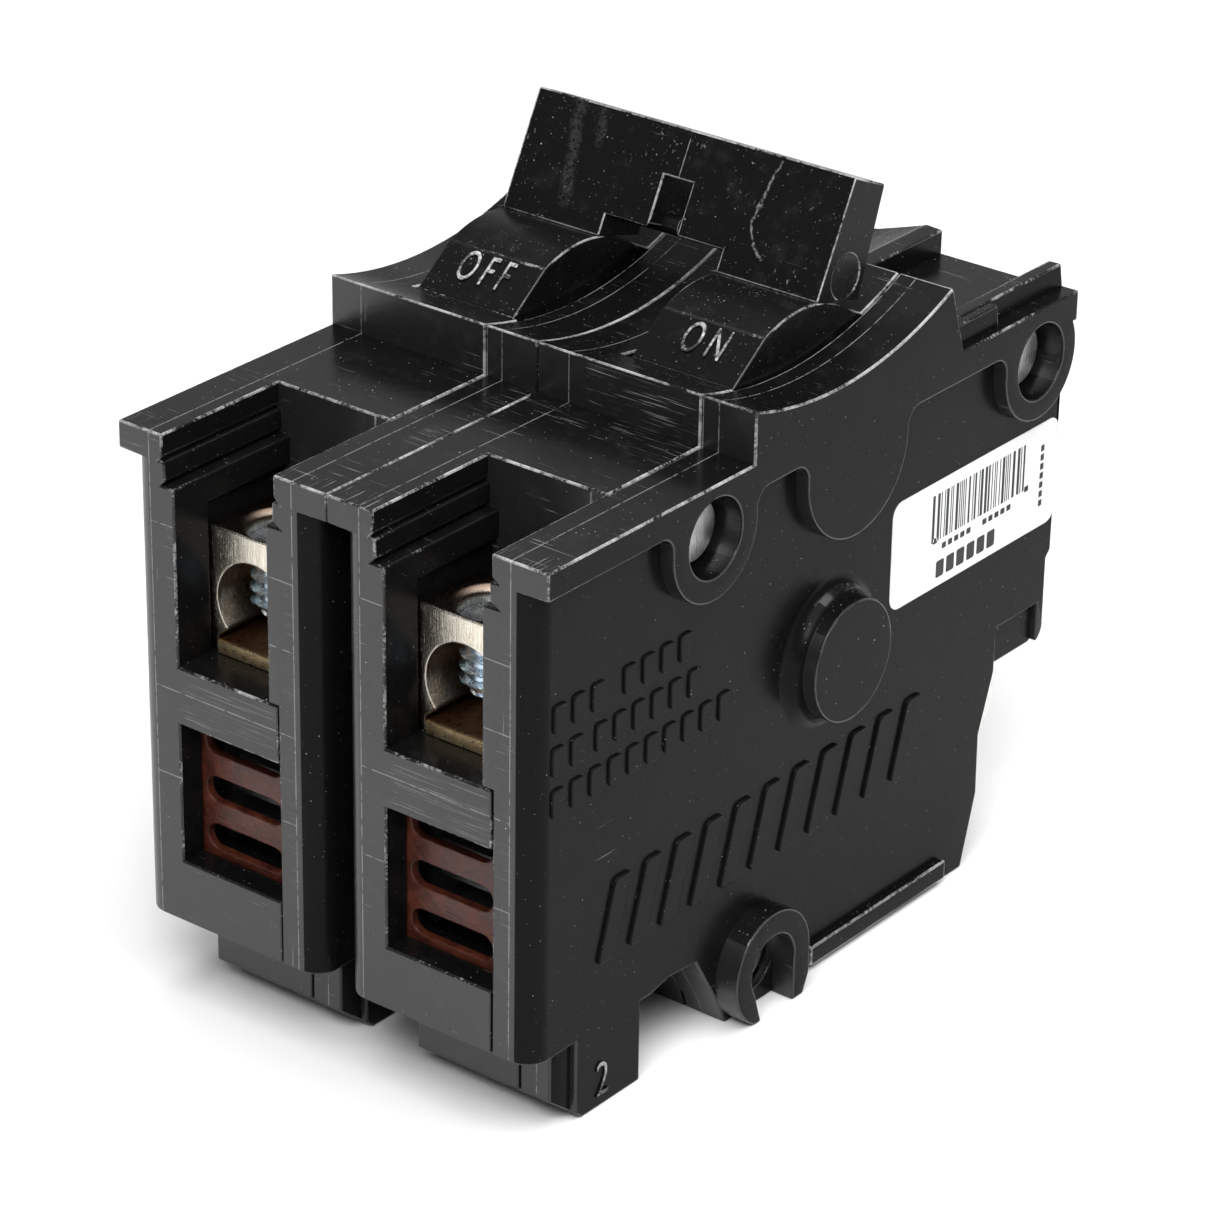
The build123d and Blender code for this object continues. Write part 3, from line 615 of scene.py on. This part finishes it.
def refined(node, name, width, wear_and_highlight, materials_by_facing, edge_finish, minimum=38.0, skip=None, cutoff=23.0):
    """A copy of a CAD node with its outer edges rounded off and given their own worn finish, which in places
    also carries a painted highlight.

    Width is in mm. Edges that turn by less than the minimum angle, in degrees, stay as they are.
    """
    bm = bmesh.new()
    bm.from_mesh(frame["nodes"][node].data)
    bmesh.ops.remove_doubles(bm, verts=bm.verts, dist=WELD)
    bmesh.ops.dissolve_limit(bm, angle_limit=math.radians(FLAT_ANGLE), verts=bm.verts, edges=bm.edges)
    for face in bm.faces:
        face.material_index = side_of(face.normal) if len(materials_by_facing) > 1 else 0
    chosen = []
    for edge in bm.edges:
        if len(edge.link_faces) != 2 or not edge.is_convex:
            continue
        if edge.calc_face_angle() < math.radians(minimum):
            continue
        middle = pole_coords((edge.verts[0].co + edge.verts[1].co) / 2)
        if skip and skip(*middle):
            continue
        chosen.append(edge)
    made = bmesh.ops.bevel(bm, geom=chosen, offset=width * MM, offset_type="OFFSET", segments=2, profile=0.5,
                           affect="EDGES", clamp_overlap=False, material=len(materials_by_facing), loop_slide=True)
    layer = bm.verts.layers.float.new("wear_and_highlight")
    for face in made["faces"]:
        for vert in face.verts:
            vert[layer] = wear_and_highlight(*pole_coords(vert.co))
    fill_flat_faces(bm)
    mesh = mesh_with_normals(bm, name, cutoff)
    for material in list(materials_by_facing) + [edge_finish]:
        mesh.materials.append(material)
    finish_piece(mesh, name, node)


def fill_flat_faces(bm):
    """Cuts each many-sided face into triangles in its own plane.

    Small crossings left in its outline by the bevel do no harm.
    """
    for face in [f for f in bm.faces if len(f.verts) > 4]:
        turn = face.normal.rotation_difference(Vector((0, 0, 1))).to_matrix()
        corners = list(face.verts)
        flat = [turn @ v.co / MM for v in corners]
        height = sum(p.z for p in flat) / len(flat)
        outline = [list(range(len(flat)))]
        points, _, triangles, sources, _, _ = delaunay_2d_cdt([p.xy for p in flat], [], outline, 1, 1e-5)
        back = turn.transposed()
        verts = [corners[source[0]] if source else bm.verts.new(back @ Vector((p.x, p.y, height)) * MM)
                 for p, source in zip(points, sources)]
        index = face.material_index
        bm.faces.remove(face)
        for triangle in triangles:
            corner = [verts[i] for i in triangle]
            if len(set(corner)) == 3 and not bm.faces.get(corner):
                bm.faces.new(corner).material_index = index


def mesh_with_normals(bm, name, cutoff):
    """Writes the mesh with its own corner normals.

    Each corner averages, by area, the faces round its vertex that turn less than the cutoff from its own
    face, so flat faces stay flat and fine facets shade as a curve.
    """
    limit = math.cos(math.radians(cutoff))
    bm.normal_update()
    areas = {face: max(face.calc_area(), 1e-14) for face in bm.faces}
    normals = []
    for face in bm.faces:
        own = face.normal
        if own.length < 0.5:
            own = max((f for v in face.verts for f in v.link_faces), key=lambda f: areas[f]).normal
        for loop in face.loops:
            total = Vector()
            for other in loop.vert.link_faces:
                if other.normal.dot(own) > limit:
                    total += other.normal * areas[other]
            normals.append(total.normalized() if total.length > 0 else own.copy())
    mesh = bpy.data.meshes.new(name)
    bm.to_mesh(mesh)
    bm.free()
    mesh.polygons.foreach_set("use_smooth", [True] * len(mesh.polygons))
    mesh.normals_split_custom_set(normals)
    return mesh


def finish_piece(mesh, name, node):
    """The piece stands for its CAD node and rides on the same body."""
    piece = bpy.data.objects.new(name, mesh)
    bpy.context.scene.collection.objects.link(piece)
    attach(piece, frame["nodes"][node]["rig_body"])
    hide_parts(node)


def inner(x, y, z):
    """True inside the mechanism room, where nothing shows."""
    local = x + POLE if x < 0 else x
    return 4.2 < local < 20.8 and 17 < y < 81 and -52 < z < -3.2


# Top, front and side copies of the case plastic, toned apart as painted light and shade by facing
CASE_LIT_AND_SHADED_COPIES = (TOP, FRONT, SIDE)
PLATED = SLOT_MATERIALS["plated_lug"]
RED = SLOT_MATERIALS["fibre_red"]
for side in POLES:
    refined(side + "_case_base", side + "_base_shell", 0.20, case_wear_and_highlight, CASE_LIT_AND_SHADED_COPIES, EDGE, skip=inner)
    refined(side + "_case_cover", side + "_cover_shell", 0.20, case_wear_and_highlight, CASE_LIT_AND_SHADED_COPIES, EDGE, skip=inner)
    refined(side + "_lug_body", side + "_lug_block", 0.25, unworn, (PLATED,), PLATED)
    refined(side + "_vent_plate", side + "_vent_grille", 0.22, unworn, (RED,), RED)
refined("handle", "handle_grip", 0.16, wear_handle, (HANDLE, HANDLE, HANDLE_END), EDGE, minimum=11.5,
        cutoff=11.0)


# ------------------------------------------------------------------ threaded lug screws
THREAD_PITCH = 1.3 * MM
THREAD_DEPTH = 0.6 * MM
PLAIN_TOP = 1.2 * MM        # unthreaded length at the top
TIP_TAPER = 1.1 * MM        # tapered length at the tip
TIP_SHARE = 0.62            # radius at the very tip, as a share of the full one
AROUND = 56                 # points round the screw
PER_PITCH = 12              # rings in one pitch


def thread_ring(bm, low, high, z):
    """One ring of the screw, cut in where the thread's groove passes."""
    centre_x, centre_y = (low.x + high.x) / 2, (low.y + high.y) / 2
    radius = (high.x - low.x) / 2
    rise = z - low.z
    tip = min(1.0, TIP_SHARE + (1 - TIP_SHARE) * rise / TIP_TAPER)
    ring = []
    for k in range(AROUND):
        angle = 2 * math.pi * k / AROUND
        phase = (rise / THREAD_PITCH - k / AROUND) % 1.0
        cut = THREAD_DEPTH * min(1.0, 1.6 * abs(2 * phase - 1)) if z < high.z - PLAIN_TOP else 0.0
        r = (radius - cut) * tip
        ring.append(bm.verts.new((centre_x + r * math.cos(angle), centre_y + r * math.sin(angle), z)))
    return ring


def threaded_screw(side):
    """Blue zinc screw with a real thread and a flat top, in the space of its CAD solid."""
    low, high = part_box(side + "_lug_screw")
    rows = int((high.z - low.z) / THREAD_PITCH * PER_PITCH)
    bm = bmesh.new()
    rings = [thread_ring(bm, low, high, low.z + (high.z - low.z) * i / rows) for i in range(rows + 1)]
    for lower, upper in zip(rings, rings[1:]):
        for k in range(AROUND):
            after = (k + 1) % AROUND
            bm.faces.new((lower[k], lower[after], upper[after], upper[k]))
    bm.faces.new(list(reversed(rings[0])))
    bm.faces.new(rings[-1])
    mesh = mesh_with_normals(bm, side + "_screw_thread", cutoff=40.0)
    mesh.materials.append(SLOT_MATERIALS["zinc_screw"])
    finish_piece(mesh, side + "_screw_thread", side + "_lug_screw")


for side in POLES:
    threaded_screw(side)


# ------------------------------------------------------------------ raised marks
def plane_frame(origin, right, up):
    """Matrix whose x and y run along right and up, at the origin."""
    right, up = Vector(right).normalized(), Vector(up).normalized()
    turn = Matrix((right, up, right.cross(up))).transposed().to_4x4()
    return Matrix.Translation(origin) @ turn


def from_curve(curve, name, matrix, body, materials, split_tops=False):
    """Turns a filled curve or text into a mesh piece on a plane."""
    holder = bpy.data.objects.new(name + "_curve", curve)
    bpy.context.scene.collection.objects.link(holder)
    bpy.context.view_layer.update()
    graph = bpy.context.evaluated_depsgraph_get()
    mesh = bpy.data.meshes.new_from_object(holder.evaluated_get(graph))
    bpy.data.objects.remove(holder)
    mesh.name = name
    mesh.materials.clear()
    for material in materials:
        mesh.materials.append(material)
    top = max(v.co.z for v in mesh.vertices)
    if split_tops:
        for polygon in mesh.polygons:
            high = all(mesh.vertices[i].co.z > top * 0.35 for i in polygon.vertices)
            polygon.material_index = 1 if high else 0
    wear_and_highlight = mesh.attributes.new("wear_and_highlight", "FLOAT", "POINT")
    wear_and_highlight.data.foreach_set("value", [0.42] * len(mesh.vertices))
    mesh.transform(matrix)
    piece = bpy.data.objects.new(name, mesh)
    bpy.context.scene.collection.objects.link(piece)
    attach(piece, body)


def lettering(text, name, matrix, size, body, squeeze, height, materials, thin, spacing):
    """Raised generic lettering: size, height and thinning in mm, squeeze across."""
    curve = bpy.data.curves.new(name + "_text", "FONT")
    curve.body = text
    curve.size = size * MM
    curve.align_x = "CENTER"
    curve.align_y = "CENTER"
    curve.space_character = spacing
    curve.offset = thin * MM
    curve.extrude = height * MM / 2
    curve.bevel_depth = 0.05 * MM
    curve.bevel_resolution = 1
    shape = Matrix.Diagonal((squeeze, 1, 1, 1))
    from_curve(curve, name, matrix @ shape, body, materials, True)


FACET_LOW, FACET_HIGH = (34.9, 3.95), (39.5, 7.33)     # (y, z) of the lettering facets' two edges


def facet_frame(x, share):
    """Frame on a drum's lettering facet, at a share of the way up it."""
    run, rise = FACET_HIGH[0] - FACET_LOW[0], FACET_HIGH[1] - FACET_LOW[1]
    place = at(x, FACET_LOW[0] + run * share, FACET_LOW[1] + rise * share)
    return plane_frame(place, (1, 0, 0), (0, run, rise))


for text, x in (("OFF", -13.0), ("ON", 13.4)):
    lettering(text, "mark_" + text.lower(), facet_frame(x, share=0.60), size=4.9, body="handle", squeeze=0.56,
              height=0.34, materials=(HANDLE, RUBBED_AND_HIGHLIT), thin=-0.05, spacing=1.5)


def rounded_outline(curve, points, radius):
    """Adds a closed rounded polygon, points in mm, to a 2D curve."""
    path = []
    count = len(points)
    for i in range(count):
        before, here, after = (Vector(points[(i + k) % count]) for k in (-1, 0, 1))
        a = here + (before - here).normalized() * radius
        b = here + (after - here).normalized() * radius
        for step in range(5):
            t = step / 4
            path.append(a * (1 - t) ** 2 + here * 2 * t * (1 - t) + b * t ** 2)
    spline = curve.splines.new("POLY")
    spline.points.add(len(path) - 1)
    for point, place in zip(spline.points, path):
        point.co = (place.x * MM, place.y * MM, 0, 1)
    spline.use_cyclic_u = True


def flat_curve(name, thickness, bevel):
    """An empty filled 2D curve with a rounded rim, sizes in mm."""
    curve = bpy.data.curves.new(name, "CURVE")
    curve.dimensions = "2D"
    curve.fill_mode = "BOTH"
    curve.extrude = thickness * MM / 2
    curve.bevel_depth = bevel * MM
    curve.bevel_resolution = 2
    curve.offset = -bevel * MM
    return curve


SIDE_FRAME = plane_frame(at(PANEL_X, 0, 0), (0, 1, 0), (0, 0, 1))


def rectangle(y, z, slant=0.0):
    """Four corners between (low, high) y and z, leaning by the slant."""
    lean = slant * (z[1] - z[0])
    return [(y[0], z[0]), (y[1], z[0]), (y[1] + lean, z[1]), (y[0] + lean, z[1])]


def tile_rows():
    """Rows of raised rounded tiles, all the same, a plain stand-in for moulded lettering."""
    curve = flat_curve("tiles", 0.26, 0.12)
    wide, tall, spacing = 1.9, 2.9, 2.72
    groups = [(-17.2, 2.6, 3), (-17.2, 12.6, 4), (-21.4, 2.4, 2), (-21.4, 8.6, 6), (-25.6, 2.4, 10)]
    for z, start, count in groups:
        for i in range(count):
            y = start + spacing * i
            rounded_outline(curve, rectangle((y, y + wide), (z, z + tall)), 0.6)
    from_curve(curve, "side_tiles", SIDE_FRAME, "case", (SIDE,))


def slanted_bars():
    """A raised band of leaning bars, a plain stand-in for the moulded mark."""
    curve = flat_curve("leaning_bars", 0.36, 0.16)
    for i in range(11):
        low = 9.2 + 4.6 * i
        rounded_outline(curve, rectangle((low, low + 2.5), (-43.6, -35.4), 0.3), 0.7)
    from_curve(curve, "side_bars", SIDE_FRAME, "case", (SIDE,))


tile_rows()
slanted_bars()
lettering("2", "mould_digit", plane_frame(at(PANEL_X, 10.3, -56.2), (0, 1, 0), (0, 0, 1)), size=5.2,
          body="case", squeeze=0.8, height=0.3, materials=(SIDE, EDGE), thin=-0.1, spacing=1.0)


# ------------------------------------------------------------------ label print
def label_print():
    """Generic bars and short dashes on the white side label."""
    low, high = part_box("side_label")
    face = plane_frame(Vector((high.x, low.y, low.z)), (0, 1, 0), (0, 0, 1))
    wide, tall = (high.y - low.y) / MM, (high.z - low.z) / MM
    curve = flat_curve("bars", 0.012, 0.0)
    y = 0.235 * wide
    while y < 0.79 * wide:
        bar = rng.choice((0.16, 0.16, 0.3, 0.42))
        rounded_outline(curve, rectangle((y, y + bar), (0.44 * tall, 0.88 * tall)), 0.01)
        y += bar + rng.choice((0.16, 0.18, 0.3, 0.42))
    # Rows of dashes: (start across, start up, as shares of the label; count, spacing, width, height, corner)
    rows = ((0.30, 0.335, 5, 1.05, 0.72, 0.62, 0.12), (0.545, 0.335, 5, 1.05, 0.72, 0.62, 0.12),
            (0.245, 0.42, 1, 1.05, 0.72, 0.6, 0.12), (0.80, 0.42, 1, 1.05, 0.72, 0.6, 0.12),
            (0.27, 0.08, 6, 1.75, 1.35, 1.8, 0.25))
    for across, up, count, spacing, width, height, corner in rows:
        for i in range(count):
            y, z = across * wide + spacing * i, up * tall
            rounded_outline(curve, rectangle((y, y + width), (z, z + height)), corner)
    y = 0.895 * wide
    for i in range(7):
        z = 0.2 * tall + i
        rounded_outline(curve, rectangle((y, y + 0.6), (z, z + 0.68)), 0.1)
    from_curve(curve, "label_bars", face, "case", (PRINT,))


label_print()


# ------------------------------------------------------------------ floor, light and view
def stage():
    """Plain pale paper floor."""
    s = Shader("paper_floor")
    tone = s.noise(0.01, 2.0)
    s.set(Base_Color=s.mix(tone, grey(0.86), grey(0.90)), Roughness=0.8)
    s.bump(s.noise(1.5, 2.0), 0.05, 0.0001)
    mesh = bpy.data.meshes.new("floor")
    reach = 3.0
    mesh.from_pydata([(-reach, -reach, 0), (reach, -reach, 0), (reach, reach, 0), (-reach, reach, 0)], [],
                     [(0, 1, 2, 3)])
    mesh.materials.append(s.material)
    floor = bpy.data.objects.new("floor", mesh)
    bpy.context.scene.collection.objects.link(floor)


def lamp(name, place, target, size, power):
    """Rectangular area lamp at a place, pointing at a target; sizes in metres, power in watts."""
    data = bpy.data.lights.new(name, "AREA")
    data.shape = "RECTANGLE"
    data.size, data.size_y = size
    data.energy = power
    light = bpy.data.objects.new(name, data)
    light.location = place
    light.rotation_euler = (Vector(target) - Vector(place)).to_track_quat("-Z", "Y").to_euler()
    bpy.context.scene.collection.objects.link(light)


def lights():
    """Soft white studio light: a dim world and three large lamps."""
    world = bpy.data.worlds.new("studio")
    world.use_nodes = True
    background = world.node_tree.nodes["Background"]
    background.inputs["Color"].default_value = (1, 1, 1, 1)
    background.inputs["Strength"].default_value = 0.16
    bpy.context.scene.world = world
    lamp("overhead", (0.30, 0.05, 1.15), (0.05, 0.0, 0), (1.3, 1.7), 22.0)
    lamp("front_top", (0.42, -0.75, 0.95), (0.0, -0.15, 0), (0.6, 0.5), 10.5)
    lamp("rear_left", (-0.85, 1.05, 0.62), (0.0, 0.0, 0.05), (0.9, 0.5), 0.35)
    bpy.context.scene.view_settings.view_transform = "Standard"


stage()
lights()
